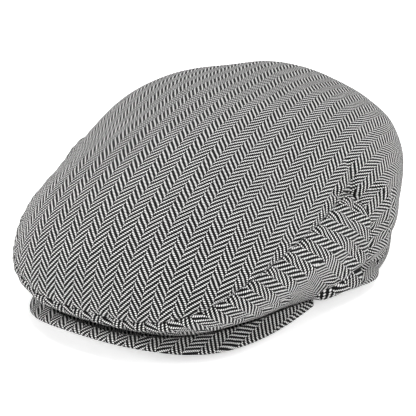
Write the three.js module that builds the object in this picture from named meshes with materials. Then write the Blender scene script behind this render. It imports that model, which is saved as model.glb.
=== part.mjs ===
// A flat cap: a large top panel, a horseshoe side band and a short stiff peak.
// Millimetres, +Z up. The peak points along -Y and the wearer's left is +X.
// The origin is on the floor, under the middle of the cap's length and width.
import * as THREE from "three";

// Head opening
const openingHalfWidth = 85;
const openingHalfLength = 101;
const frontRimLift = 8.5;

// Crown, measured from the upright line through its highest point, with a dome of one radius round that point
const crestHeight = 108;
const frontReach = 147;
const sideReach = 110;
const backReach = 111;
const crestRadius = 240;
const crestShare = 0.45;
const clothWall = 2;

// Side band: degrees from the front to its ends, and to where the rim comes down to the floor
const earAngle = 83;
const landingAngle = 93;

// Peak, with the degrees from the front to its ends
const peakReach = 151;
const peakHalfWidth = 81.2;
const peakCornerDepth = 36;
const peakEndAngle = 68;
const peakThickness = 3;
const peakEdgeLift = 14.3;
const peakEdgePower = 2.6;
const peakPower = 2.8;
const peakRisePower = 3;

// Gap left between two pieces that are sewn together
const seamGap = 0.3;

// Crown sections, from the front round to the back. The columns are the turn in degrees, the reach as a
// share of the plain oval through the three reaches, the height of the fullest line as a share of the crest
// height, the powers of the curves above that line (flat and full) and below it (under), and the reach of
// the rim as a share of the oval of the head opening.
const sections = [
  { turn: 0, reach: 1.0, belly: 0.215, flat: 1.75, full: 2.05, under: 2.3, rim: 1.0 },
  { turn: 30, reach: 1.085, belly: 0.296, flat: 1.8, full: 1.7, under: 1.75, rim: 0.995 },
  { turn: 60, reach: 0.995, belly: 0.412, flat: 2.05, full: 1.35, under: 1.35, rim: 0.975 },
  { turn: 90, reach: 1.0, belly: 0.5, flat: 2.45, full: 1.5, under: 2.2, rim: 1.05 },
  { turn: 120, reach: 0.97, belly: 0.562, flat: 2.7, full: 2.1, under: 1.5, rim: 1.1 },
  { turn: 150, reach: 1.0, belly: 0.535, flat: 2.9, full: 2.15, under: 1.85, rim: 1.03 },
  { turn: 180, reach: 1.0, belly: 0.485, flat: 3.4, full: 2.3, under: 2.0, rim: 1.0 },
];

// Seam between the top panel and the band, from the front to the ear. A ring runs from 0 at the crest
// through 1 at the fullest line to 2 at the rim.
const seamRings = [
  { share: 0, ring: 0.98 },
  { share: 0.25, ring: 0.97 },
  { share: 0.5, ring: 0.82 },
  { share: 0.75, ring: 0.74 },
  { share: 1, ring: 0.7 },
];

// Dents and soft swells of the cloth. The columns are the place by turn and ring, the half size in each of
// them, and the depth as a share of the crest height, below zero where the cloth swells out.
const dents = [
  { turn: 84, ring: 0.72, turnSize: 9, ringSize: 0.1, depth: 0.024 },
  { turn: -84, ring: 0.72, turnSize: 9, ringSize: 0.1, depth: 0.018 },
  { turn: 62, ring: 0.98, turnSize: 12, ringSize: 0.16, depth: -0.012 },
  { turn: -64, ring: 1.0, turnSize: 12, ringSize: 0.16, depth: -0.012 },
  { turn: -28, ring: 1.15, turnSize: 14, ringSize: 0.15, depth: 0.012 },
  { turn: 84, ring: 1.45, turnSize: 10, ringSize: 0.2, depth: 0.016 },
  { turn: -86, ring: 1.4, turnSize: 10, ringSize: 0.2, depth: 0.014 },
  { turn: -170, ring: 0.47, turnSize: 17, ringSize: 0.15, depth: -0.018 },
  { turn: -148, ring: 0.5, turnSize: 12, ringSize: 0.18, depth: 0.006 },
  { turn: 131, ring: 0.87, turnSize: 12, ringSize: 0.1, depth: 0.007 },
  { turn: 128, ring: 1.2, turnSize: 10, ringSize: 0.3, depth: -0.016 },
  { turn: 107, ring: 1.58, turnSize: 16, ringSize: 0.22, depth: 0.04 },
];

// Fineness of the meshes
const stepAngle = 6;
const topRingCount = 12;
const backRingCount = 6;
const bandRingCount = 6;
const peakColumnCount = 24;
const peakRows = [0, 0.25, 0.5, 0.75, 0.92, 1];

const halfTurn = 180;
const quarterTurn = 90;
const radians = THREE.MathUtils.degToRad;
const crestY = (peakReach - backReach) / 2;
const rimRing = 2;
const peakSeat = peakThickness + 2 * seamGap;

// Smooth value at a place 0 to 1 in an even list, level at its first entry
function smoothValue(values, place) {
  const last = values.length - 1;
  const step = Math.min(Math.floor(place * last), last - 1);
  const t = place * last - step;
  const entry = (k) => values[k < 0 ? -k : Math.min(k, 2 * last - k)];
  const [before, from, to, after] = [step - 1, step, step + 1, step + 2].map(entry);
  const leaving = (to - before) / 2;
  const arriving = (after - from) / 2;
  return from * (2 * t ** 3 - 3 * t ** 2 + 1) + leaving * (t ** 3 - 2 * t ** 2 + t)
    + to * (3 * t ** 2 - 2 * t ** 3) + arriving * (t ** 3 - t ** 2);
}

// Column of the section table at a turn, the same on the left and the right
function sectionValue(column, turn) {
  return smoothValue(sections.map((row) => row[column]), Math.abs(turn) / halfTurn);
}

// Reach of the fullest line from the crest's upright line
function bellyReach(turn) {
  const lengthReach = Math.abs(turn) < quarterTurn ? frontReach : backReach;
  const along = Math.cos(radians(turn)) / lengthReach;
  const across = Math.sin(radians(turn)) / sideReach;
  return sectionValue("reach", turn) / Math.hypot(along, across);
}

// Reach of the rim, near an oval around the head
function rimReach(turn) {
  const across = Math.sin(radians(turn)) / openingHalfWidth;
  const along = Math.cos(radians(turn)) / openingHalfLength;
  return sectionValue("rim", turn) / Math.hypot(across, along);
}

// Height of the rim: it lies on the floor behind the ears and rises over the peak
function rimHeight(turn) {
  const away = Math.abs(turn);
  if (away <= peakEndAngle) {
    return peakSeat + (frontRimLift - peakSeat) * Math.cos(radians(quarterTurn * away / peakEndAngle)) ** 2;
  }
  const fade = Math.min((away - peakEndAngle) / (landingAngle - peakEndAngle), 1);
  return peakSeat * Math.cos(radians(quarterTurn * fade)) ** 2;
}

// Depth of all dents at a place
function dentDepth(turn, ring) {
  let depth = 0;
  for (const dent of dents) {
    const round = ((turn - dent.turn + 3 * halfTurn) % (2 * halfTurn) - halfTurn) / dent.turnSize;
    const down = (ring - dent.ring) / dent.ringSize;
    depth += dent.depth * crestHeight * Math.exp(-round * round - down * down);
  }
  return depth * Math.min(1, Math.max(0, rimRing - ring) * 4);
}

// Point of the crown without its dents
function plainPoint(turn, ring) {
  const belly = bellyReach(turn);
  const bellyHeight = sectionValue("belly", turn) * crestHeight;
  let reach;
  let height;
  if (ring <= 1) {
    const out = Math.sin(radians(quarterTurn * ring));
    const rise = Math.max(0, 1 - out ** sectionValue("flat", turn)) ** (1 / sectionValue("full", turn));
    reach = belly * out;
    const dome = crestHeight - reach * reach / (2 * crestRadius);
    height = THREE.MathUtils.lerp(
      dome,
      bellyHeight + (crestHeight - bellyHeight) * rise,
      THREE.MathUtils.smoothstep(out, 0, crestShare),
    );
  } else {
    const rim = rimReach(turn);
    const power = sectionValue("under", turn);
    const down = Math.sin(radians(quarterTurn * (ring - 1)));
    reach = rim + (belly - rim) * Math.max(0, 1 - down ** power) ** (1 / power);
    height = bellyHeight + (rimHeight(turn) - bellyHeight) * down;
  }
  return new THREE.Vector3(reach * Math.sin(radians(turn)), crestY - reach * Math.cos(radians(turn)), height);
}

// Outward normal of the plain crown, level at the rim so that the rim stays flat
function crownNormal(turn, ring) {
  const turnNudge = 0.5;
  const ringNudge = 0.005;
  const upper = Math.max(ring - ringNudge, ringNudge / 2);
  const lower = Math.min(ring + ringNudge, rimRing);
  const place = Math.max(ring, ringNudge);
  const round = plainPoint(turn + turnNudge, place).sub(plainPoint(turn - turnNudge, place));
  const down = plainPoint(turn, lower).sub(plainPoint(turn, upper));
  const normal = down.cross(round).normalize();
  if (ring >= rimRing) {
    normal.setZ(0).normalize();
  }
  return normal;
}

// Point of the crown at a depth under its outer face
function crownPoint(turn, ring, depth) {
  if (ring === 0) {
    return new THREE.Vector3(0, crestY, crestHeight - depth);
  }
  return plainPoint(turn, ring).addScaledVector(crownNormal(turn, ring), -depth - dentDepth(turn, ring));
}

// Ring of the seam at a turn
function seamRing(turn) {
  return smoothValue(seamRings.map((row) => row.ring), Math.min(Math.abs(turn) / earAngle, 1));
}

// Ring of a panel's edge beside the seam: side is -1 for the top panel and 1 for the band
function edgeRing(turn, side) {
  const nudge = 0.01;
  const ring = seamRing(turn);
  const millimetresPerRing = plainPoint(turn, ring + nudge).distanceTo(plainPoint(turn, ring)) / nudge;
  const slope = (seamRing(turn + nudge) - seamRing(turn - nudge)) / (2 * nudge);
  const millimetresPerTurn = radians(bellyReach(turn));
  const slant = Math.hypot(1, slope * millimetresPerRing / millimetresPerTurn);
  return ring + side * seamGap * slant / (2 * millimetresPerRing);
}

// Closed body between an outer and an inner sheet on one grid. A cell is left out where keep is false, and
// walls close the sheet along all of its open edges. A wall is falling where its indices fall, so that the
// facing walls of two pieces are split along the same diagonals.
function clothBody(columns, rows, closed, keep, outer, inner) {
  const positions = [];
  const faces = [];
  const sheets = [new Map(), new Map()];
  const corner = (sheet, i, j) => {
    const column = closed ? i % columns : i;
    const atPole = closed && j === 0;
    const key = atPole ? "pole" : `${column},${j}`;
    if (!sheets[sheet].has(key)) {
      sheets[sheet].set(key, positions.length / 3);
      positions.push(...(sheet === 0 ? outer : inner)(atPole ? 0 : column, j).toArray());
    }
    return sheets[sheet].get(key);
  };
  const addFace = (a, b, c) => {
    if (a !== b && b !== c && c !== a) {
      faces.push(a, b, c);
    }
  };
  const kept = (i, j) => {
    const inside = j >= 0 && j < rows && (closed || (i >= 0 && i < columns - 1));
    return inside && keep(closed ? (i + columns) % columns : i, j);
  };
  const addWall = (from, to, falling) => {
    const [a, b] = [corner(0, ...from), corner(0, ...to)];
    const [c, d] = [corner(1, ...from), corner(1, ...to)];
    addFace(b, a, falling ? d : c);
    addFace(falling ? a : b, c, d);
  };
  const lastColumn = closed ? columns : columns - 1;
  for (let i = 0; i < lastColumn; i += 1) {
    for (let j = 0; j < rows; j += 1) {
      if (kept(i, j)) {
        for (const sheet of [0, 1]) {
          const [a, b] = [corner(sheet, i, j), corner(sheet, i + 1, j)];
          const [c, d] = [corner(sheet, i + 1, j + 1), corner(sheet, i, j + 1)];
          const flip = sheet === 1;
          addFace(a, flip ? c : d, flip ? d : c);
          addFace(a, flip ? b : c, flip ? c : b);
        }
        if (!kept(i, j - 1) && !(closed && j === 0)) {
          addWall([i + 1, j], [i, j], true);
        }
        if (!kept(i, j + 1)) {
          addWall([i, j + 1], [i + 1, j + 1], false);
        }
        if (!kept(i - 1, j)) {
          addWall([i, j], [i, j + 1], false);
        }
        if (!kept(i + 1, j)) {
          addWall([i + 1, j + 1], [i + 1, j], true);
        }
      }
    }
  }
  const geometry = new THREE.BufferGeometry();
  geometry.setAttribute("position", new THREE.Float32BufferAttribute(positions, 3));
  geometry.setIndex(faces);
  geometry.computeVertexNormals();
  return geometry;
}

// Even turns from one to another, both included
function turnsBetween(from, to) {
  const steps = Math.max(1, Math.round((to - from) / stepAngle));
  return Array.from({ length: steps + 1 }, (_, i) => from + (to - from) * i / steps);
}

// Large panel: it ends at the seam in front of the ears and runs down to the rim behind them
function topPanelGeometry() {
  const earEdge = earAngle + seamGap / radians(sideReach) / 2;
  const frontTurns = turnsBetween(-earEdge, earEdge);
  const backTurns = turnsBetween(earEdge, 2 * halfTurn - earEdge).slice(1, -1);
  const turns = [...frontTurns, ...backTurns];
  const rows = topRingCount + backRingCount;
  const place = (depth) => (i, j) => {
    const turn = turns[i] > halfTurn ? turns[i] - 2 * halfTurn : turns[i];
    const edge = edgeRing(turn, -1);
    const above = edge * j / topRingCount;
    const below = edge + (rimRing - edge) * (j - topRingCount) / backRingCount;
    const ring = j <= topRingCount ? above : below;
    return crownPoint(turn, ring, depth);
  };
  const keep = (i, j) => j < topRingCount || i >= frontTurns.length - 1;
  return clothBody(turns.length, rows, true, keep, place(0), place(clothWall));
}

// Band from ear to ear round the front, from the seam down to the rim
function sideBandGeometry() {
  const earEdge = earAngle - seamGap / radians(sideReach) / 2;
  const turns = turnsBetween(-earEdge, earEdge);
  const place = (depth) => (i, j) => {
    const edge = edgeRing(turns[i], 1);
    return crownPoint(turns[i], edge + (rimRing - edge) * j / bandRingCount, depth);
  };
  return clothBody(turns.length, bandRingCount, false, () => true, place(0), place(clothWall));
}

// Top of the peak: across is -1 to 1 from corner to corner and out is 0 at the rim to 1 at the edge
function peakTop(across, out) {
  const turn = across * peakEndAngle;
  const innerReach = rimReach(turn) - clothWall;
  const inner = new THREE.Vector3(
    innerReach * Math.sin(radians(turn)),
    crestY - innerReach * Math.cos(radians(turn)),
    rimHeight(turn) - seamGap,
  );
  const aside = Math.sin(radians(across * quarterTurn));
  const ahead = Math.cos(radians(across * quarterTurn));
  const edge = new THREE.Vector3(
    peakHalfWidth * Math.sign(aside) * Math.abs(aside) ** (2 / peakPower),
    crestY - peakCornerDepth - (peakReach - peakCornerDepth) * Math.max(ahead, 0) ** (2 / peakPower),
    peakThickness + (peakEdgeLift - peakThickness) * Math.max(ahead, 0) ** peakEdgePower,
  );
  const point = inner.clone().lerp(edge, out);
  point.z = inner.z + (edge.z - inner.z) * out ** peakRisePower;
  return point;
}

// Stiff peak with a thinner, rounded edge
function peakGeometry() {
  const roundedShare = 8;
  const face = (side) => (i, j) => {
    const out = peakRows[j];
    const point = peakTop(2 * i / peakColumnCount - 1, out);
    const half = peakThickness / 2 * (1 - out ** roundedShare * 0.7);
    point.z += side * half - peakThickness / 2;
    return point;
  };
  return clothBody(peakColumnCount + 1, peakRows.length - 1, false, () => true, face(1), face(-1));
}

function clothMaterial(shade) {
  return new THREE.MeshStandardMaterial({ color: shade, roughness: 0.95, metalness: 0 });
}

function piece(name, geometry, shade) {
  const mesh = new THREE.Mesh(geometry, clothMaterial(shade));
  mesh.name = name;
  return mesh;
}

const cap = new THREE.Group();
cap.add(piece("top_panel", topPanelGeometry(), 0x6f6f6f));
cap.add(piece("side_band", sideBandGeometry(), 0x666666));
cap.add(piece("peak", peakGeometry(), 0x5d5d5d));

export default cap;
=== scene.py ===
"""Looks of a flat cap in black and white herringbone cloth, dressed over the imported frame.

Metres, +Z up. The peak points along -Y, the wearer's left is +X, and the rim lies on the floor.
"""
import math

import bpy
import numpy as np
from mathutils import Matrix, Vector


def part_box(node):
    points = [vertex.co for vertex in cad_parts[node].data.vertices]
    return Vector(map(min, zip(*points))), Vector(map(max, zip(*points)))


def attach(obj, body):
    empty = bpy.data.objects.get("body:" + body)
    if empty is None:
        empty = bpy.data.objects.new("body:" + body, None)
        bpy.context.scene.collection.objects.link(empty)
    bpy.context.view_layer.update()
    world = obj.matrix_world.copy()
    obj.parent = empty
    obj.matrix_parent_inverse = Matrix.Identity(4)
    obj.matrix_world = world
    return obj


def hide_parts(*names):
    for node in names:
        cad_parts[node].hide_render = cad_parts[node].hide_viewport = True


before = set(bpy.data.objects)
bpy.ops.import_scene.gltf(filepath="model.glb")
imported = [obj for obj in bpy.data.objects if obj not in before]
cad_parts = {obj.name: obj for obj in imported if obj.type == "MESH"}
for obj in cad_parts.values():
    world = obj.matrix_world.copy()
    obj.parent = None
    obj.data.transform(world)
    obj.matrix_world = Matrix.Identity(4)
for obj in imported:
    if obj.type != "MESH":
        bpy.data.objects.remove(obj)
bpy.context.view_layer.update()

# Read from the frame, whose origin is under the middle of the cap's length
CREST_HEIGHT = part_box("top_panel")[1][2]
PEAK_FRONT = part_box("peak")[0][1]
CROWN_BACK = -PEAK_FRONT

# Head opening and crown. The reaches start at the upright line through the crest.
OPENING_HALF_WIDTH = 0.085
OPENING_HALF_LENGTH = 0.101
FRONT_RIM_LIFT = 0.0085
FRONT_REACH = 0.147
SIDE_REACH = 0.110
BACK_REACH = 0.111
CREST_RADIUS = 0.240
CREST_SHARE = 0.45
WALL = 0.0020
CREST_Y = CROWN_BACK - BACK_REACH

# Side band: degrees from the front to its ends, and to where the rim comes down to the floor
EAR_ANGLE = 83.0
LANDING_ANGLE = 93.0

# Peak: degrees from the front to its ends, how it arches up under the crown and the room that it leaves
# there, its gap under the rim, where its edge starts to round, and a slight ripple
PEAK_REACH = CREST_Y - PEAK_FRONT
PEAK_HALF_WIDTH = 0.0812
PEAK_CORNER_DEPTH = 0.036
PEAK_END_ANGLE = 68.0
PEAK_THICKNESS = 0.0030
PEAK_EDGE_LIFT = 0.0143
PEAK_EDGE_POWER = 2.6
PEAK_POWER = 2.8
PEAK_RISE_POWER = 3
PEAK_ARCH = 0.35
PEAK_ROOM = 0.0010
PEAK_GAP = 0.0003
PEAK_SEAT = PEAK_THICKNESS + 2 * PEAK_GAP
PEAK_ROUND_START = 0.965
PEAK_RIPPLE = 0.00025
RIPPLE_RATES = (95, 60)
RIPPLE_LAG = 0.6

# Seam: the gap between its two pieces, round and down, the degrees that it is measured over, its ridge, and
# the puckers along it with their uneven spacing
SEAM_GAP = 0.0001
EAR_GAP_TURN = math.degrees(SEAM_GAP / 2 / SIDE_REACH)
BAND_RING_GAP = 0.001
SEAM_RUN = 105.0
SEAM_STEPS = 400
SEAM_BLUR = 0.0004
SEAM_RIDGE = 0.0011
RIDGE_PLACE = 0.004
RIDGE_WIDTH = 0.0022
PUCKER = 0.0006
PUCKER_LENGTH = 0.011
PUCKER_REACH = 0.008
PUCKER_WANDER = 0.6
WANDER_RATE = 70
EAR_FADE = 4.0

# Hems, and how steeply dents and relief fade out towards the rim, which is ring 2
RIM_RING = 2.0
HEM_RADIUS = 0.00095
HEM_SOFTNESS = 0.6
DENT_FADE = 4.0
RELIEF_FADE = 3.5

# Cloth: two mirrored columns of eight warp ends, over four picks of weft
END_PITCH = 0.00077
PICK_PITCH = 0.00095
ENDS_PER_COLUMN = 8
PICKS_PER_REPEAT = 4
HALF_REPEAT = PICKS_PER_REPEAT / 2
BAND_SLANT = math.radians(60)

# Yarns: their colours, how far they wander in pitches, the painted shade that darkens them towards their sides
# and the ends of their floats where they dip between each other, their floats, fibres and patches, and the
# depth of the weave
DARK_YARN = 0.006
LIGHT_YARN = 0.77
WARMTH = (1.0, 0.995, 0.985)
# The next two set the painted shade between yarns: the yarn height below which the colour darkens, and how
# sharply it does.
YARN_WANDER = 0.9
CREVICE_SHADE_HEIGHT = 0.6
CREVICE_SHADE_STEEPNESS = 3.2
FLOAT_SHARE = 0.6
FIBRE_TONE = 0.42
FIBRE_HEIGHT = 0.25
PATCH_TONE = 0.14
WEAVE_DEPTH = 0.00035

# Inside cloth: radians per metre of its fine ribs, its tone, and what ribs and patches add to it
INNER_RIB_RATE = 9000
INNER_TONE = 0.014
INNER_RIB_TONE = 0.003
INNER_PATCH_TONE = 0.012
INNER_DEPTH = 0.0001

# How the cloth of the top panel lies: easing down the back and sides, parting of the columns towards the
# front and the sides per metre, bow of the weft per metre, and its skew
EASE_ARC = 0.13
BACK_EASE = 0.8
EASE_START = 0.2
SIDE_EASE = 0.3
COLUMN_PARTING = 1.9
SIDE_PARTING = 1.5
SIDE_DROP = 0.05
WEFT_BOW = 1.8
WEFT_SKEW = -0.09

# Photograph: its size and the place of the aim point in it, in pixels
PHOTO_SIDE = 416
AIM_PIXEL = (229.8, 182.0)
PIXELS_PER_METRE = 1610.0
CAMERA_AZIMUTH = math.radians(34.6)
CAMERA_ELEVATION = math.radians(24.0)
CAMERA_ROLL = math.radians(-2.85)
CAMERA_DISTANCE = 1.295
AIM_HEIGHT = 0.050
SENSOR_WIDTH = 36.0

# Studio: each light's place, size and power, the height that they aim at, and the floor
LIGHTS = {
    "overhead": ((0.2, 0.15, 1.9), 1.6, 39),
    "left": ((-1.4, -1.4, 0.7), 1.0, 35),
    "right": ((1.8, 0.3, 0.7), 1.0, 23),
}
LIGHT_AIM_HEIGHT = 0.04
WORLD_STRENGTH = 0.34
FLOOR_TONE = 0.9
FLOOR_GLOW = 0.47
FLOOR_HALF = 4.0
FLOOR_DROP = 0.0002

# Fineness of the meshes
TOP_FRONT_COLUMNS = 140
TOP_BACK_COLUMNS = 150
TOP_UPPER_ROWS = 78
TOP_LOWER_ROWS = 56
BAND_COLUMNS = 340
BAND_ROWS = 64
PEAK_COLUMNS = 200
PEAK_ROWS = 26
PEAK_EDGE_STEPS = 11
CROWDING = 0.35

# Crown sections at even turns from the front round to the back: the reach as a share of the plain oval, the
# height of the fullest line as a share of the crest height, the powers of the curves above that line (flat
# and full) and below it (under), and the reach of the rim as a share of the oval of the head opening.
SECTIONS = {
    "reach": [1.0, 1.085, 0.995, 1.0, 0.97, 1.0, 1.0],
    "belly": [0.215, 0.296, 0.412, 0.5, 0.562, 0.535, 0.485],
    "flat": [1.75, 1.8, 2.05, 2.45, 2.7, 2.9, 3.4],
    "full": [2.05, 1.7, 1.35, 1.5, 2.1, 2.15, 2.3],
    "under": [2.3, 1.75, 1.35, 2.2, 1.5, 1.85, 2.0],
    "rim": [1.0, 0.995, 0.975, 1.05, 1.1, 1.03, 1.0],
}

# Ring of the seam from the front to the ear, at even shares of the way
SEAM_RINGS = [0.98, 0.97, 0.82, 0.74, 0.7]

# Dents: turn, ring, size in turn, size in ring, depth as a share of the crest height
DENTS = [
    (84, 0.72, 9, 0.1, 0.024),
    (-84, 0.72, 9, 0.1, 0.018),
    (62, 0.98, 12, 0.16, -0.012),
    (-64, 1.0, 12, 0.16, -0.012),
    (-28, 1.15, 14, 0.15, 0.012),
    (84, 1.45, 10, 0.2, 0.016),
    (-86, 1.4, 10, 0.2, 0.014),
    (-170, 0.47, 17, 0.15, -0.018),
    (-148, 0.5, 12, 0.18, 0.006),
    (131, 0.87, 12, 0.1, 0.007),
    (128, 1.2, 10, 0.3, -0.016),
    (107, 1.58, 16, 0.22, 0.04),
]

# Soft unevenness of the cloth: waves per metre along X, Y and Z, lag, height in metres
SOFT_WAVES = [
    (11.0, 5.0, 9.0, 0.3, 0.00035),
    (-7.0, 13.0, 4.0, 1.9, 0.00035),
    (17.0, -9.0, 12.0, 4.1, 0.00025),
    (4.0, 21.0, -15.0, 2.6, 0.0002),
    (-24.0, 8.0, 19.0, 5.2, 0.00015),
]

# Folds: path of turns and rings, half width and height in metres, below zero for a crease. The wearer's
# right side has the same folds at a share of their height.
RIGHT_SIDE_FOLDS = 0.55
FOLDS = [
    ([(66, 1.62), (70, 1.54), (74, 1.47), (80, 1.43), (87, 1.45), (94, 1.54)], 0.0017, -0.0032),
    ([(68, 1.72), (75, 1.62), (84, 1.60), (93, 1.68)], 0.0050, 0.0030),
    ([(69, 1.40), (77, 1.30), (88, 1.31)], 0.0060, 0.0020),
    ([(101, 1.42), (107, 1.62)], 0.0100, -0.0025),
    ([(0, 1.3), (10, 1.3), (20, 1.3), (30, 1.3), (40, 1.33), (50, 1.36)], 0.0040, -0.0022),
    ([(83.5, 0.72), (83.5, 1.1), (83.5, 1.44)], 0.0020, -0.0026),
    ([(82.5, 0.72), (74, 0.66)], 0.0022, -0.0026),
    ([(83.5, 0.70), (88, 0.60)], 0.0022, -0.0020),
    ([(84, 0.75), (91, 0.80)], 0.0020, -0.0020),
    ([(82, 0.76), (76, 0.83)], 0.0020, -0.0020),
    ([(79, 0.72), (72, 0.78)], 0.0030, 0.0012),
    ([(94, 0.84), (91, 1.12), (93, 1.40)], 0.0040, 0.0024),
    ([(99, 0.95), (97, 1.3), (102, 1.62)], 0.0030, -0.0018),
    ([(80, 0.9), (72, 1.2)], 0.0028, -0.0012),
    ([(78, 1.15), (70, 1.38)], 0.0024, -0.0012),
    ([(74, 1.5), (66, 1.62)], 0.0020, 0.0010),
    ([(112, 1.1), (118, 1.6)], 0.0060, -0.0014),
    ([(140, 0.95), (146, 1.6)], 0.0070, -0.0014),
    ([(158, 1.3), (166, 1.7)], 0.0060, 0.0010),
]


def smooth_value(values, place):
    """Smooth values at places 0 to 1 in an even list, level at both of its ends."""
    values = np.asarray(values, float)
    last = len(values) - 1
    step = np.clip(np.floor(place * last), 0, last - 1).astype(int)
    t = place * last - step

    def entry(index):
        index = np.abs(index)
        return values[np.minimum(index, 2 * last - index)]

    before, start, end, after = (entry(step + k) for k in (-1, 0, 1, 2))
    leaving = (end - before) / 2
    arriving = (after - start) / 2
    return (start * (2 * t**3 - 3 * t**2 + 1) + leaving * (t**3 - 2 * t**2 + t)
            + end * (3 * t**2 - 2 * t**3) + arriving * (t**3 - t**2))


def section_value(column, turn):
    """Column of the section table at a turn, the same on the left and the right."""
    return smooth_value(SECTIONS[column], np.abs(turn) / 180)


def belly_reach(turn):
    """Reach of the fullest line from the crest's upright line."""
    length_reach = np.where(np.abs(turn) < 90, FRONT_REACH, BACK_REACH)
    along = np.cos(np.radians(turn)) / length_reach
    across = np.sin(np.radians(turn)) / SIDE_REACH
    return section_value("reach", turn) / np.hypot(along, across)


def rim_reach(turn):
    """Reach of the rim, near an oval round the head."""
    angle = np.radians(turn)
    oval = 1 / np.hypot(np.sin(angle) / OPENING_HALF_WIDTH, np.cos(angle) / OPENING_HALF_LENGTH)
    return section_value("rim", turn) * oval


def rim_height(turn):
    """The rim lies on the floor behind the ears and rises over the peak."""
    away = np.abs(turn)
    over_peak = np.cos(np.radians(90 * np.minimum(away / PEAK_END_ANGLE, 1))) ** 2
    fade = np.clip((away - PEAK_END_ANGLE) / (LANDING_ANGLE - PEAK_END_ANGLE), 0, 1)
    beside = PEAK_SEAT * np.cos(np.radians(90 * fade)) ** 2
    return np.where(away <= PEAK_END_ANGLE, PEAK_SEAT + (FRONT_RIM_LIFT - PEAK_SEAT) * over_peak, beside)


def plain_points(turn, ring):
    """Points of the smooth crown. A ring is 0 at the crest, 1 at the fullest line and 2 at the rim."""
    turn, ring = np.broadcast_arrays(np.asarray(turn, float), np.asarray(ring, float))
    belly = belly_reach(turn)
    belly_height = section_value("belly", turn) * CREST_HEIGHT
    out = np.sin(np.radians(90 * np.clip(ring, 0, 1)))
    rise = np.maximum(0, 1 - out ** section_value("flat", turn)) ** (1 / section_value("full", turn))
    dome = CREST_HEIGHT - (belly * out) ** 2 / (2 * CREST_RADIUS)
    blend = np.clip(out / CREST_SHARE, 0, 1)
    blend = blend * blend * (3 - 2 * blend)
    upper_height = dome + (belly_height + (CREST_HEIGHT - belly_height) * rise - dome) * blend
    rim = rim_reach(turn)
    power = section_value("under", turn)
    down = np.sin(np.radians(90 * np.clip(ring - 1, 0, 1)))
    lower_reach = rim + (belly - rim) * np.maximum(0, 1 - down**power) ** (1 / power)
    lower_height = belly_height + (rim_height(turn) - belly_height) * down
    reach = np.where(ring <= 1, belly * out, lower_reach)
    height = np.where(ring <= 1, upper_height, lower_height)
    angle = np.radians(turn)
    return np.stack([reach * np.sin(angle), CREST_Y - reach * np.cos(angle), height], axis=-1)


def crown_normals(turn, ring, turn_step=0.5, ring_step=0.005):
    """Outward directions on the plain crown, level at the rim and upright at the crest."""
    turn, ring = np.broadcast_arrays(np.asarray(turn, float), np.asarray(ring, float))
    place = np.maximum(ring, ring_step)
    around = plain_points(turn + turn_step, place) - plain_points(turn - turn_step, place)
    above = np.maximum(ring - ring_step, ring_step / 2)
    below = np.minimum(ring + ring_step, RIM_RING)
    down = plain_points(turn, below) - plain_points(turn, above)
    normals = np.cross(down, around)
    normals[ring >= RIM_RING, 2] = 0
    normals /= np.linalg.norm(normals, axis=-1, keepdims=True)
    normals[ring <= 0] = (0, 0, 1)
    return normals


def dent_depth(turn, ring):
    """Depth of all dents together, none at the rim."""
    depth = 0
    for dent_turn, dent_ring, turn_size, ring_size, share in DENTS:
        around = ((turn - dent_turn + 540) % 360 - 180) / turn_size
        down = (ring - dent_ring) / ring_size
        depth = depth + share * CREST_HEIGHT * np.exp(-around**2 - down**2)
    return depth * np.clip((RIM_RING - ring) * DENT_FADE, 0, 1)


def soft_relief(points):
    """Height of the soft unevenness of the cloth."""
    height = 0
    for along_x, along_y, along_z, lag, size in SOFT_WAVES:
        waves = points[..., 0] * along_x + points[..., 1] * along_y + points[..., 2] * along_z
        height = height + size * np.sin(2 * math.pi * waves + lag)
    return height


def fold_relief(points):
    """Height of all folds at points of the plain crown."""
    height = np.zeros(points.shape[:-1])
    for path, half_width, size in FOLDS:
        turns, rings = np.array(path).T
        for side, strength in ((1, 1.0), (-1, RIGHT_SIDE_FOLDS)):
            track = plain_points(side * turns, rings)
            nearest = np.full(height.shape, np.inf)
            for start, stop in zip(track[:-1], track[1:]):
                way = stop - start
                share = np.clip(((points - start) @ way) / (way @ way), 0, 1)
                gap = np.linalg.norm(points - start - share[..., None] * way, axis=-1)
                nearest = np.minimum(nearest, gap)
            height += strength * size * np.exp(-(nearest / half_width) ** 2)
    return height


def seam_ring(turn):
    """Ring of the seam between the top panel and the band."""
    return smooth_value(SEAM_RINGS, np.minimum(np.abs(turn) / EAR_ANGLE, 1))


def distance_to(points, edges, batch=64):
    """Distance from every point to the nearest of the edge points, worked out in batches of edge points."""
    flat = points.reshape(-1, 3)
    nearest = np.full(len(flat), np.inf)
    for start in range(0, len(edges), batch):
        gaps = flat[:, None, :] - edges[None, start:start + batch, :]
        nearest = np.minimum(nearest, np.sqrt((gaps**2).sum(axis=-1)).min(axis=1))
    return nearest.reshape(points.shape[:-1])


def hem_roll(distance, radius):
    """How far cloth has turned in at a distance from its rounded edge."""
    short = np.clip(radius - distance, 0, radius)
    return radius - np.sqrt(np.maximum(radius**2 - short**2, 0))


def spread(start, stop, count, crowd_start=False, crowd_stop=False, power=1.0):
    """Rising values from start to stop, closer together at the ends that are crowded."""
    t = np.linspace(0, 1, count + 1)
    if crowd_start and crowd_stop:
        t = (1 - np.cos(math.pi * t)) / 2 * CROWDING + t * (1 - CROWDING)
        t = np.where(t < 0.5, 0.5 * (2 * t) ** power, 1 - 0.5 * (2 - 2 * t) ** power)
    elif crowd_stop:
        t = 1 - (1 - t) ** power
    elif crowd_start:
        t = t**power
    return start + (stop - start) * t


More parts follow.
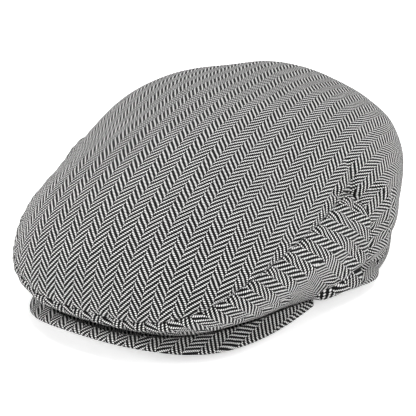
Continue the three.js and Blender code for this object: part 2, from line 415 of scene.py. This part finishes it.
class Sheet:
    """One cloth panel on a grid of columns and rows, with a rounded hem along its open edges. A closed panel
    goes all the way round, and its first row is one point, the crest."""

    def __init__(self, points, normals, closed, keep, weave, relief):
        self.closed = closed
        self.keep = keep
        self.weave = weave
        lifted = points + normals * relief[..., None]
        gap = distance_to(points, points[self.edge_mask()])
        roll = hem_roll(gap * HEM_SOFTNESS, HEM_RADIUS)[..., None]
        self.outer = lifted - normals * roll
        self.inner = lifted - normals * (WALL - roll)

    def edge_mask(self):
        """Grid points on the open edges."""
        keep = self.keep
        columns, rows = keep.shape
        count = np.zeros((columns + (0 if self.closed else 1), rows + 1), int)
        for di in (0, 1):
            for dj in (0, 1):
                target = (np.arange(columns) + di) % count.shape[0]
                count[target[:, None], np.arange(rows)[None, :] + dj] += keep
        mask = (count > 0) & (count < 4)
        if self.closed:
            mask[:, 0] = False
        return mask

    def build(self, name, materials):
        columns, rows = self.keep.shape
        grid_columns = self.outer.shape[0]
        count = grid_columns * (rows + 1)

        def index(side, i, j):
            """Number of a point, on the outer side 0 or the inner side 1."""
            if self.closed and j == 0:
                i = 0
            return side * count + (i % grid_columns) * (rows + 1) + j

        def kept(i, j):
            if self.closed:
                i %= columns
            return 0 <= i < columns and 0 <= j < rows and self.keep[i, j]

        faces = []
        slots = []

        def add(corners, slot):
            faces.append([c for k, c in enumerate(corners) if c != corners[k - 1]])
            slots.append(slot)

        def add_hem(start, stop):
            """Face across the hem, from the outer side to the inner one, between two points on an edge."""
            add([index(0, *start), index(0, *stop), index(1, *stop), index(1, *start)], 0)

        for i in range(columns):
            for j in range(rows):
                if not self.keep[i, j]:
                    continue
                near, down, across, right = (i, j), (i, j + 1), (i + 1, j + 1), (i + 1, j)
                corners = [near, down, across, right]
                add([index(0, *corner) for corner in corners], 0)
                add([index(1, *corner) for corner in reversed(corners)], 1)
                if (j > 0 or not self.closed) and not kept(i, j - 1):
                    add_hem(near, right)
                if not kept(i, j + 1):
                    add_hem(across, down)
                if not kept(i - 1, j):
                    add_hem(down, near)
                if not kept(i + 1, j):
                    add_hem(right, across)
        points = np.concatenate([self.outer.reshape(-1, 3), self.inner.reshape(-1, 3)])
        weave = np.concatenate([self.weave.reshape(-1, 2)] * 2)
        return mesh_object(name, points, faces, slots, weave, materials)


def mesh_object(name, points, faces, slots, weave, materials):
    """Smooth-shaded mesh with its cloth coordinates in metres as the UV map named weave."""
    used = np.unique(np.concatenate([np.asarray(face) for face in faces]))
    renumber = np.full(len(points), -1)
    renumber[used] = np.arange(len(used))
    mesh = bpy.data.meshes.new(name)
    mesh.from_pydata(points[used].tolist(), [], [renumber[face].tolist() for face in faces])
    for material in materials:
        mesh.materials.append(material)
    mesh.polygons.foreach_set("material_index", slots)
    mesh.polygons.foreach_set("use_smooth", [True] * len(faces))
    corners = np.empty(len(mesh.loops), int)
    mesh.loops.foreach_get("vertex_index", corners)
    mesh.uv_layers.new(name="weave").data.foreach_set("uv", weave[used][corners].ravel())
    mesh.update()
    piece = bpy.data.objects.new(name, mesh)
    bpy.context.scene.collection.objects.link(piece)
    return piece


def turn_columns():
    """Turns all round, from ear to ear over the front and then round the back."""
    edge = EAR_ANGLE + EAR_GAP_TURN
    front = spread(-edge, edge, TOP_FRONT_COLUMNS, True, True, 1.25)
    back = spread(edge, 360 - edge, TOP_BACK_COLUMNS, True, True, 1.25)
    return np.concatenate([front, back[1:-1]])


def top_rings(turns, upper, lower):
    """Rings of the top panel's grid points, from the shares of the way to the seam and then on to the rim."""
    edge = seam_ring(turns)[:, None]
    rings = np.concatenate([edge * upper[None, :], edge + (RIM_RING - edge) * lower[None, 1:]], axis=1)
    return np.minimum(rings, RIM_RING)


def seam_places(points):
    """Place along the seam of the nearest seam point, and the distance from it."""
    turns = np.linspace(-SEAM_RUN, SEAM_RUN, SEAM_STEPS)
    seam = plain_points(turns, seam_ring(turns))
    lengths = np.concatenate([[0], np.cumsum(np.linalg.norm(np.diff(seam, axis=0), axis=-1))])
    lengths -= lengths[-1] / 2
    flat = points.reshape(-1, 3)
    gaps = np.sqrt(((flat[:, None, :] - seam[None, :, :]) ** 2).sum(axis=-1))
    soft = np.exp(-((gaps - gaps.min(axis=1, keepdims=True)) / SEAM_BLUR))
    along = (soft * lengths).sum(axis=1) / soft.sum(axis=1)
    return along.reshape(points.shape[:-1]), gaps.min(axis=1).reshape(points.shape[:-1])


def cloth_relief(points, turn, ring):
    """Height of the cloth over the plain crown: dents, folds, soft unevenness, and a ridge and puckers
    along the seam."""
    along, away = seam_places(points)
    pucker_turns = along / PUCKER_LENGTH + PUCKER_WANDER * np.sin(along * WANDER_RATE)
    puckers = PUCKER * np.sin(2 * math.pi * pucker_turns) * np.exp(-(away / PUCKER_REACH) ** 2)
    ridge = SEAM_RIDGE * np.exp(-((away - RIDGE_PLACE) / RIDGE_WIDTH) ** 2)
    before_ear = np.clip((EAR_ANGLE - np.abs(turn)) / EAR_FADE, 0, 1)
    seam = (puckers + ridge) * before_ear * np.where(turn > 0, 1, RIGHT_SIDE_FOLDS)
    fade = np.clip((RIM_RING - ring) * RELIEF_FADE, 0, 1) ** 2
    return (soft_relief(points) + fold_relief(points) + seam) * fade - dent_depth(turn, ring)


def panel_cloth(points, turn):
    """Flat cloth coordinates of the top panel. The cloth is laid out from the crest along every turn. It
    eases in down the back and beside the ears, its columns part towards the front, and its weft bows there."""
    steps = np.linalg.norm(np.diff(points, axis=1), axis=-1)
    arc = np.concatenate([np.zeros((len(points), 1)), np.cumsum(steps, axis=1)], axis=1)
    eased = arc / (1 + (arc / EASE_ARC) ** 4) ** 0.25
    ahead = np.cos(np.radians(turn))
    aside = np.sin(np.radians(turn))
    across = aside * (arc + (eased - arc) * BACK_EASE * np.clip(EASE_START - ahead, 0, 1))
    along = -ahead * (arc + (eased - arc) * SIDE_EASE * aside**2)
    drop = SIDE_DROP * np.tanh((CREST_HEIGHT - points[..., 2]) / SIDE_DROP)
    parting = 1 + COLUMN_PARTING * (points[..., 1] - CREST_Y) + SIDE_PARTING * drop
    return np.stack([across * parting, along - WEFT_BOW * across**2 + WEFT_SKEW * across], axis=-1)


def top_panel_sheet():
    """The panel covers the band's columns down to the seam, and the others down to the rim."""
    upper = spread(0, 1, TOP_UPPER_ROWS, crowd_stop=True, power=1.5)
    lower = spread(0, 1, TOP_LOWER_ROWS, crowd_stop=True, power=1.4)
    turns = turn_columns()
    turns = np.where(turns > 180, turns - 360, turns)
    rings = top_rings(turns, upper, lower)
    keep = np.ones((len(turns), rings.shape[1] - 1), bool)
    keep[:TOP_FRONT_COLUMNS, TOP_UPPER_ROWS:] = False
    turn_grid = np.broadcast_to(turns[:, None], rings.shape)
    points = plain_points(turn_grid, rings)
    normals = crown_normals(turn_grid, rings)
    weave = panel_cloth(points, turn_grid)
    return Sheet(points, normals, True, keep, weave, cloth_relief(points, turn_grid, rings))


def side_band_sheet():
    """The band runs from ear to ear over the front, between the seam and the rim."""
    edge = EAR_ANGLE - EAR_GAP_TURN
    turns = spread(-edge, edge, BAND_COLUMNS, True, True, 1.2)
    shares = spread(0, 1, BAND_ROWS, True, True, 1.3)
    start = seam_ring(turns)[:, None] + BAND_RING_GAP
    rings = start + (RIM_RING - start) * shares[None, :]
    rings[:, -1] = RIM_RING
    turn_grid = np.broadcast_to(turns[:, None], rings.shape)
    points = plain_points(turn_grid, rings)
    normals = crown_normals(turn_grid, rings)

    along, down = seam_places(points)
    weave = np.stack([along * math.sin(BAND_SLANT) - down * math.cos(BAND_SLANT),
                      along * math.cos(BAND_SLANT) + down * math.sin(BAND_SLANT)], axis=-1)
    keep = np.ones((len(turns) - 1, len(shares) - 1), bool)
    return Sheet(points, normals, False, keep, weave, cloth_relief(points, turn_grid, rings))


def crown_underside(points, halvings=20):
    """Height of the plain crown below its fullest line, straight above the points."""
    turn = np.degrees(np.arctan2(points[..., 0], CREST_Y - points[..., 1]))
    reach = np.hypot(points[..., 0], CREST_Y - points[..., 1])
    low = np.full(turn.shape, 1.0)
    high = np.full(turn.shape, RIM_RING)
    for _ in range(halvings):
        middle = (low + high) / 2
        places = plain_points(turn, middle)
        wide = np.hypot(places[..., 0], CREST_Y - places[..., 1]) > reach
        low = np.where(wide, middle, low)
        high = np.where(wide, high, middle)
    return plain_points(turn, low)[..., 2]


def peak_points(across, out):
    """Top face of the peak: across is -1 to 1 between its corners, out is 0 at the rim and 1 at its edge."""
    turn = across * PEAK_END_ANGLE
    angle = np.radians(turn)
    inner_reach = rim_reach(turn) - WALL
    inner = np.stack([
        inner_reach * np.sin(angle),
        CREST_Y - inner_reach * np.cos(angle),
        rim_height(turn) - PEAK_GAP], axis=-1)
    aside = np.sin(np.radians(across * 90))
    ahead = np.maximum(np.cos(np.radians(across * 90)), 0)
    edge = np.stack([
        PEAK_HALF_WIDTH * np.sign(aside) * np.abs(aside) ** (2 / PEAK_POWER),
        CREST_Y - PEAK_CORNER_DEPTH - (PEAK_REACH - PEAK_CORNER_DEPTH) * ahead ** (2 / PEAK_POWER),
        PEAK_THICKNESS + (PEAK_EDGE_LIFT - PEAK_THICKNESS) * ahead**PEAK_EDGE_POWER], axis=-1)
    share = out[..., None]
    points = inner * (1 - share) + edge * share
    plain_height = inner[..., 2] + (edge[..., 2] - inner[..., 2]) * out**PEAK_RISE_POWER
    arch = edge[..., 2] + PEAK_ARCH * (1 - out) * np.linalg.norm(edge - inner, axis=-1)
    room = crown_underside(points) - PEAK_ROOM
    points[..., 2] = np.maximum(plain_height, np.minimum(arch, room))
    return points


def peak_loop():
    """Place outward and lift of each row of the peak, out over the top, round the edge and back below."""
    half = PEAK_THICKNESS / 2
    flat = spread(0, PEAK_ROUND_START, PEAK_ROWS, crowd_stop=True, power=1.3)
    round_edge = np.radians(np.linspace(90, -90, PEAK_EDGE_STEPS))[1:-1]
    round_out = PEAK_ROUND_START + (1 - PEAK_ROUND_START) * np.cos(round_edge)
    out = np.concatenate([flat, round_out, flat[::-1]])
    lift = np.concatenate([np.full(len(flat), half), half * np.sin(round_edge), np.full(len(flat), -half)])
    return out, lift


def peak_piece(materials):
    """Stiff peak, with its cloth laid outward from the rim over the top, round the edge and back below."""
    across = spread(-1, 1, PEAK_COLUMNS, True, True, 1.1)
    out, lift = peak_loop()
    grid_across, grid_out = np.broadcast_arrays(across[:, None], out[None, :])
    points = peak_points(grid_across, grid_out)
    points[..., 2] += lift[None, :] - PEAK_THICKNESS / 2
    wave_across = np.sin(points[..., 0] * RIPPLE_RATES[0] + RIPPLE_LAG)
    wave_along = np.sin(points[..., 1] * RIPPLE_RATES[1])
    points[..., 2] += PEAK_RIPPLE * wave_across * wave_along * grid_out

    path = np.cumsum(np.linalg.norm(np.diff(points, axis=1), axis=-1), axis=1)
    path = np.concatenate([np.zeros((len(across), 1)), path], axis=1)
    outward = points[:, PEAK_ROWS + 1, :2] - points[:, 0, :2]
    outward /= np.linalg.norm(outward, axis=-1, keepdims=True)
    weave = points[:, :1, :2] + outward[:, None, :] * path[..., None]

    count = len(out)
    faces = []
    for i in range(PEAK_COLUMNS):
        for j in range(count):
            after = (j + 1) % count
            faces.append([i * count + j, i * count + after, (i + 1) * count + after, (i + 1) * count + j])
    faces.append(list(range(count))[::-1])
    faces.append([PEAK_COLUMNS * count + j for j in range(count)])
    slots = [0] * len(faces)
    return mesh_object("peak_cloth", points.reshape(-1, 3), faces, slots, weave.reshape(-1, 2), materials)


class Wire:
    """A number in a node tree. Arithmetic on wires adds Math nodes."""

    def __init__(self, tree, socket):
        self.tree = tree
        self.socket = socket

    def math(self, operation, *others):
        node = self.tree.nodes.new("ShaderNodeMath")
        node.operation = operation
        for slot, value in enumerate((self, *others)):
            if isinstance(value, Wire):
                self.tree.links.new(value.socket, node.inputs[slot])
            else:
                node.inputs[slot].default_value = value
        return Wire(self.tree, node.outputs[0])

    def __add__(self, other):
        return self.math("ADD", other)

    def __sub__(self, other):
        return self.math("SUBTRACT", other)

    def __mul__(self, other):
        return self.math("MULTIPLY", other)

    def floor(self):
        return self.math("FLOOR")

    def modulo(self, size):
        return self.math("FLOORED_MODULO", size)

    def above(self, level):
        return self.math("GREATER_THAN", level)

    def mix(self, other, share):
        """This number where share is 0 and the other where it is 1."""
        return (other - self if isinstance(other, Wire) else (self - other) * -1) * share + self


def noise_wire(tree, vector, scale, detail, roughness=0.5):
    node = tree.nodes.new("ShaderNodeTexNoise")
    node.inputs["Scale"].default_value = scale
    node.inputs["Detail"].default_value = detail
    node.inputs["Roughness"].default_value = roughness
    tree.links.new(vector, node.inputs["Vector"])
    return Wire(tree, node.outputs["Fac"])


def bump_wire(tree, height, distance, shader):
    """Bump of a height on a shader, full at a distance in metres."""
    bump = tree.nodes.new("ShaderNodeBump")
    bump.inputs["Strength"].default_value = 1.0
    bump.inputs["Distance"].default_value = distance
    tree.links.new(height.socket, bump.inputs["Height"])
    tree.links.new(bump.outputs[0], shader.inputs["Normal"])


def colour_wires(tree, channels, shader):
    """Base colour of a shader from its red, green and blue."""
    colour = tree.nodes.new("ShaderNodeCombineColor")
    for slot, channel in enumerate(channels):
        tree.links.new(channel.socket, colour.inputs[slot])
    tree.links.new(colour.outputs[0], shader.inputs["Base Color"])


def cloth_material(name):
    """New material with its tree, its shader, the socket of the weave map, and the two wires of that map."""
    material = bpy.data.materials.new(name)
    material.use_nodes = True
    tree = material.node_tree
    weave_map = tree.nodes.new("ShaderNodeUVMap")
    weave_map.uv_map = "weave"
    split = tree.nodes.new("ShaderNodeSeparateXYZ")
    tree.links.new(weave_map.outputs["UV"], split.inputs[0])
    across = Wire(tree, split.outputs[0])
    along = Wire(tree, split.outputs[1])
    return material, tree, tree.nodes["Principled BSDF"], weave_map.outputs["UV"], across, along


def yarn_profile(place):
    """Rounded height across a yarn, 0 at its sides and 1 on its back, from a place 0 to 1."""
    centred = place * 2 - 1
    return (centred * centred * -1 + 1).math("SQRT")


def herringbone(name):
    """Broken herringbone twill: black warp under white weft, drawn yarn by yarn from the weave map."""
    material, tree, shader, weave, across, along = cloth_material(name)
    wander_across = noise_wire(tree, weave, 140, 2)
    wander_along = noise_wire(tree, weave, 170, 2)
    end = across * (1 / END_PITCH) + (wander_across - 0.5) * YARN_WANDER
    pick = along * (1 / PICK_PITCH) + (wander_along - 0.5) * YARN_WANDER
    end_number = end.floor()
    pick_number = pick.floor()
    end_place = end - end_number
    pick_place = pick - pick_number

    # The weft lies on top over half of each repeat, one pick further on with every end, and the other way
    # round in the mirrored columns
    order = end_number.modulo(2 * ENDS_PER_COLUMN)
    mirrored = order.above(ENDS_PER_COLUMN - 0.5)
    step = order.mix(order * -1 + (2 * ENDS_PER_COLUMN - 1), mirrored)
    phase = (pick_number + step + mirrored * HALF_REPEAT).modulo(PICKS_PER_REPEAT)
    weft_up = phase.above(HALF_REPEAT - 0.5)

    warp_float = (phase + pick_place) * (1 / HALF_REPEAT)
    weft_order = (phase - HALF_REPEAT).mix(phase * -1 + (PICKS_PER_REPEAT - 1), mirrored)
    weft_float = (weft_order + end_place) * (1 / HALF_REPEAT)
    warp_height = yarn_profile(end_place) * (yarn_profile(warp_float) * FLOAT_SHARE + (1 - FLOAT_SHARE))
    weft_height = yarn_profile(pick_place) * (yarn_profile(weft_float) * FLOAT_SHARE + (1 - FLOAT_SHARE))
    height = warp_height.mix(weft_height, weft_up)

    fibre = noise_wire(tree, weave, 2600, 2, 0.6)
    patch = noise_wire(tree, weave, 60, 3)
    # Painted shade: the yarn colour darkens where a yarn dips at its sides and float ends, standing in for the
    # shade in the gaps between yarns. Fibres and patches add real uneven tone.
    crevice_shade_factor = ((height - CREVICE_SHADE_HEIGHT) * CREVICE_SHADE_STEEPNESS).math("MAXIMUM", 0.0).math("MINIMUM", 1.0)
    tone_and_crevice_shade = crevice_shade_factor + (fibre - 0.5) * FIBRE_TONE + (patch - 0.5) * PATCH_TONE
    tone = (tone_and_crevice_shade * DARK_YARN).mix(tone_and_crevice_shade * LIGHT_YARN, weft_up)
    colour_wires(tree, [tone * share for share in WARMTH], shader)
    bump_wire(tree, height + fibre * FIBRE_HEIGHT, WEAVE_DEPTH, shader)
    shader.inputs["Roughness"].default_value = 0.92
    shader.inputs["Specular IOR Level"].default_value = 0.1
    shader.inputs["Sheen Weight"].default_value = 0.04
    shader.inputs["Sheen Roughness"].default_value = 0.6
    return material


def inner_cloth(name):
    """Plain dark cotton on the inside, with a fine even weave."""
    material, tree, shader, weave, across, along = cloth_material(name)
    ribs = (across * INNER_RIB_RATE).math("SINE") * (along * INNER_RIB_RATE).math("SINE")
    patch = noise_wire(tree, weave, 90, 3)
    tone = patch * INNER_PATCH_TONE + ribs * INNER_RIB_TONE + INNER_TONE
    colour_wires(tree, [tone] * 3, shader)
    bump_wire(tree, ribs, INNER_DEPTH, shader)
    shader.inputs["Roughness"].default_value = 0.9
    shader.inputs["Specular IOR Level"].default_value = 0.1
    return material


def add_camera():
    """Camera at the photograph's angle, with its aim point at the photograph's pixel."""
    back = np.array([
        math.sin(CAMERA_AZIMUTH) * math.cos(CAMERA_ELEVATION),
        -math.cos(CAMERA_AZIMUTH) * math.cos(CAMERA_ELEVATION),
        math.sin(CAMERA_ELEVATION)])
    right = np.array([math.cos(CAMERA_AZIMUTH), math.sin(CAMERA_AZIMUTH), 0])
    up = np.cross(back, right)
    rolled_right = right * math.cos(CAMERA_ROLL) + up * math.sin(CAMERA_ROLL)
    rolled_up = up * math.cos(CAMERA_ROLL) - right * math.sin(CAMERA_ROLL)
    place = np.array([0, CREST_Y, AIM_HEIGHT]) + back * CAMERA_DISTANCE
    data = bpy.data.cameras.new("camera")
    data.sensor_width = SENSOR_WIDTH
    data.lens = PIXELS_PER_METRE * CAMERA_DISTANCE / PHOTO_SIDE * SENSOR_WIDTH
    data.shift_x = (PHOTO_SIDE / 2 - AIM_PIXEL[0]) / PHOTO_SIDE
    data.shift_y = (AIM_PIXEL[1] - PHOTO_SIDE / 2) / PHOTO_SIDE
    data.clip_start = 0.05
    data.clip_end = 50
    camera = bpy.data.objects.new("camera", data)
    turned = Matrix([rolled_right, rolled_up, back]).transposed()
    camera.matrix_world = Matrix.Translation(Vector(place)) @ turned.to_4x4()
    bpy.context.scene.collection.objects.link(camera)
    bpy.context.scene.camera = camera


def add_floor():
    """Plain white floor, a hair below the rim."""
    material = bpy.data.materials.new("floor")
    material.use_nodes = True
    shader = material.node_tree.nodes["Principled BSDF"]
    shader.inputs["Base Color"].default_value = (FLOOR_TONE, FLOOR_TONE, FLOOR_TONE, 1)
    shader.inputs["Roughness"].default_value = 1.0
    shader.inputs["Specular IOR Level"].default_value = 0.0
    shader.inputs["Emission Color"].default_value = (1, 1, 1, 1)
    shader.inputs["Emission Strength"].default_value = FLOOR_GLOW
    mesh = bpy.data.meshes.new("floor")
    corners = [(x * FLOOR_HALF, y * FLOOR_HALF, 0) for x, y in ((-1, -1), (1, -1), (1, 1), (-1, 1))]
    mesh.from_pydata(corners, [], [(0, 1, 2, 3)])
    mesh.materials.append(material)
    floor = bpy.data.objects.new("floor", mesh)
    floor.location.z = -FLOOR_DROP
    bpy.context.scene.collection.objects.link(floor)


def add_light(name, place, size, power):
    """Round soft light aimed at the middle of the cap."""
    data = bpy.data.lights.new(name, "AREA")
    data.shape = "DISK"
    data.size = size
    data.energy = power
    light = bpy.data.objects.new(name, data)
    light.location = place
    aim = Vector((0, 0, LIGHT_AIM_HEIGHT)) - Vector(place)
    light.rotation_euler = aim.to_track_quat("-Z", "Y").to_euler()
    bpy.context.scene.collection.objects.link(light)


def add_lighting():
    world = bpy.data.worlds.new("studio")
    world.use_nodes = True
    background = world.node_tree.nodes["Background"]
    background.inputs["Color"].default_value = (1, 1, 1, 1)
    background.inputs["Strength"].default_value = WORLD_STRENGTH
    bpy.context.scene.world = world
    for name, (place, size, power) in LIGHTS.items():
        add_light(name, place, size, power)
    bpy.context.scene.view_settings.view_transform = "Standard"


def dress(piece, node):
    """Lets a piece stand for a node of the frame."""
    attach(piece, "root")
    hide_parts(node)


add_camera()
add_floor()
add_lighting()
inside = inner_cloth("inner_cloth")
top_panel = top_panel_sheet().build("top_panel_cloth", [herringbone("top_herringbone"), inside])
dress(top_panel, "top_panel")
side_band = side_band_sheet().build("side_band_cloth", [herringbone("band_herringbone"), inside])
dress(side_band, "side_band")
dress(peak_piece([herringbone("peak_herringbone")]), "peak")
